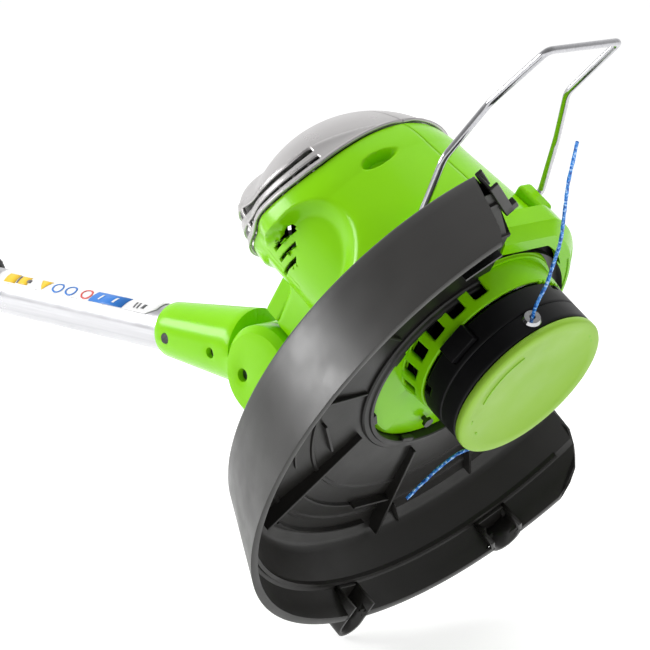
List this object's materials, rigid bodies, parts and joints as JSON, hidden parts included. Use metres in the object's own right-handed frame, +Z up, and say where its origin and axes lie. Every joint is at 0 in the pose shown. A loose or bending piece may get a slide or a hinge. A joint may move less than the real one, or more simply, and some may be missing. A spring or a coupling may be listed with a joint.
{
  "type": "string trimmer",
  "caption": "Battery string trimmer with telescoping shaft, tilting motor head, debris guard, folding wire guard, spinning line drum and adjustable front handle.",
  "frame": {"origin": "centre of the battery's flat underside, at floor level", "axes": "+X along the level shaft from the rear handle to the cutting head, +Y to the operator's left, +Z up"},
  "size_m": [1.2695, 0.292, 0.3392],
  "materials": {
    "green_shell": "high gloss apple green",
    "silver_cover": "satin silver-grey",
    "guard_plastic": "satin dark warm grey",
    "black_plastic": "fine matte black",
    "black_rubber": "soft grip",
    "tube_aluminium": "satin anodised",
    "bright_wire": "bright plated wire",
    "steel": "machined steel",
    "dark_steel": "blackened screws",
    "brass": "plain",
    "blue_line": "blue nylon with white flecks",
    "white_plastic": "natural acetal",
    "label": null,
    "cell_wrap": "shrink wrap",
    "cable": "cable sheath"
  },
  "bodies": {
    "handle": {"handle_right": "green_shell", "handle_left": "green_shell", "handle_screws": "dark_steel", "strap_eye": "steel", "soft_grip": "black_rubber", "power_switch": "black_plastic", "battery_terminals": "brass", "power_lead": "cable", "upper_tube": "tube_aluminium", "collar_base": "black_plastic", "collet": "white_plastic", "clamp_upper": "black_plastic", "clamp_lower": "black_plastic", "clamp_screws": "dark_steel", "aux_bolt": "steel", "trigger_spring": "steel"},
    "trigger": {"trigger": "black_plastic"},
    "lock_button": {"lock_button": "black_plastic"},
    "battery": {"battery_case": "black_plastic", "battery_cells": "cell_wrap"},
    "battery_latch": {"battery_latch": "green_shell"},
    "front_handle": {"aux_handle": "black_rubber"},
    "knob": {"aux_knob": "black_plastic"},
    "collar": {"collar_ring": "black_plastic"},
    "inner_slide": {"guide_bush": "white_plastic"},
    "lower_shaft": {"lower_tube": "tube_aluminium", "tube_label": "label", "head_lead": "cable", "socket_right": "green_shell", "socket_left": "green_shell", "socket_screws": "dark_steel", "pivot_pin": "steel"},
    "head": {"housing_right": "green_shell", "housing_left": "green_shell", "housing_screws": "dark_steel", "top_cover_right": "silver_cover", "top_cover_left": "silver_cover", "motor_mount": "black_plastic", "motor_can": "steel", "motor_bearings": "steel", "brush_cap": "black_plastic", "motor_lead": "cable", "guard": "guard_plastic", "guard_screws": "dark_steel", "line_cutter": "steel", "cutter_screws": "dark_steel"},
    "tilt_release": {"tilt_release": "green_shell"},
    "wire_guard": {"wire_guard": "bright_wire"},
    "spool": {"motor_shaft": "steel", "cooling_fan": "black_plastic", "drum": "black_plastic", "line_eyelets": "bright_wire", "drum_cap": "green_shell", "wave_spring": "steel", "line_end_long": "blue_line", "line_end_short": "blue_line"},
    "reel": {"reel": "black_plastic", "wound_line": "blue_line"},
    "latch_right": {"latch_right": "black_plastic"},
    "latch_left": {"latch_left": "black_plastic"}
  },
  "joints": [
    {"name": "trigger_squeeze", "type": "hinge", "parent": "handle", "child": "trigger", "pos_m": [0.062, 0, 0.133], "axis": [0, 1, 0], "range_deg": [0, 8], "stiffness_Nm_per_rad": 1.2, "deforming": ["trigger_spring"]},
    {"name": "lock_press", "type": "slide", "parent": "handle", "child": "lock_button", "axis": [0, 0, -1], "range_m": [0, 0.005], "stiffness_N_per_m": 500},
    {"name": "battery_slide", "type": "slide", "parent": "handle", "child": "battery", "axis": [-1, 0, 0], "range_m": [0, 0.16]},
    {"name": "battery_latch_press", "type": "slide", "parent": "battery", "child": "battery_latch", "axis": [0, 0, -1], "range_m": [0, 0.003], "stiffness_N_per_m": 1200},
    {"name": "front_handle_tilt", "type": "hinge", "parent": "handle", "child": "front_handle", "pos_m": [0.35, 0, 0.18515], "axis": [0, 1, 0], "range_deg": [-35, 35]},
    {"name": "knob_turn", "type": "hinge", "parent": "handle", "child": "knob", "pos_m": [0.35, 0.03, 0.18515], "axis": [0, 1, 0], "continuous": true},
    {"name": "collar_twist", "type": "hinge", "parent": "handle", "child": "collar", "pos_m": [0.6, 0, 0.14715], "axis": [1, 0, 0], "range_deg": [0, 90]},
    {"name": "telescope_slide", "type": "slide", "parent": "handle", "child": "inner_slide", "axis": [1, 0, 0], "range_m": [0, 0.2]},
    {"name": "shaft_twist", "type": "hinge", "parent": "inner_slide", "child": "lower_shaft", "pos_m": [0.6, 0, 0.14715], "axis": [1, 0, 0], "range_deg": [0, 180]},
    {"name": "head_tilt", "type": "hinge", "parent": "lower_shaft", "child": "head", "pos_m": [0.905, 0, 0.14055], "axis": [0, 1, 0], "range_deg": [-34, 20]},
    {"name": "tilt_release_press", "type": "slide", "parent": "head", "child": "tilt_release", "axis": [0.829, 0, -0.5592], "range_m": [0, 0.004], "stiffness_N_per_m": 900},
    {"name": "wire_guard_fold", "type": "hinge", "parent": "head", "child": "wire_guard", "pos_m": [1.04755, 0, 0.25054], "axis": [0, 1, 0], "range_deg": [-85, 15]},
    {"name": "spool_spin", "type": "hinge", "parent": "head", "child": "spool", "pos_m": [1.082, 0, 0.15855], "axis": [-0.829, 0, 0.5592], "continuous": true, "deforming": ["line_end_long", "line_end_short"]},
    {"name": "line_feed", "type": "hinge", "parent": "spool", "child": "reel", "pos_m": [1.06708, 0, 0.16861], "axis": [-0.829, 0, 0.5592], "continuous": true},
    {"name": "latch_right_press", "type": "slide", "parent": "spool", "child": "latch_right", "axis": [-0.2095, 0.9272, -0.3106], "range_m": [0, 0.002], "stiffness_N_per_m": 1500},
    {"name": "latch_left_press", "type": "slide", "parent": "spool", "child": "latch_left", "axis": [0.2095, -0.9272, 0.3106], "range_m": [0, 0.002], "stiffness_N_per_m": 1500}
  ]
}
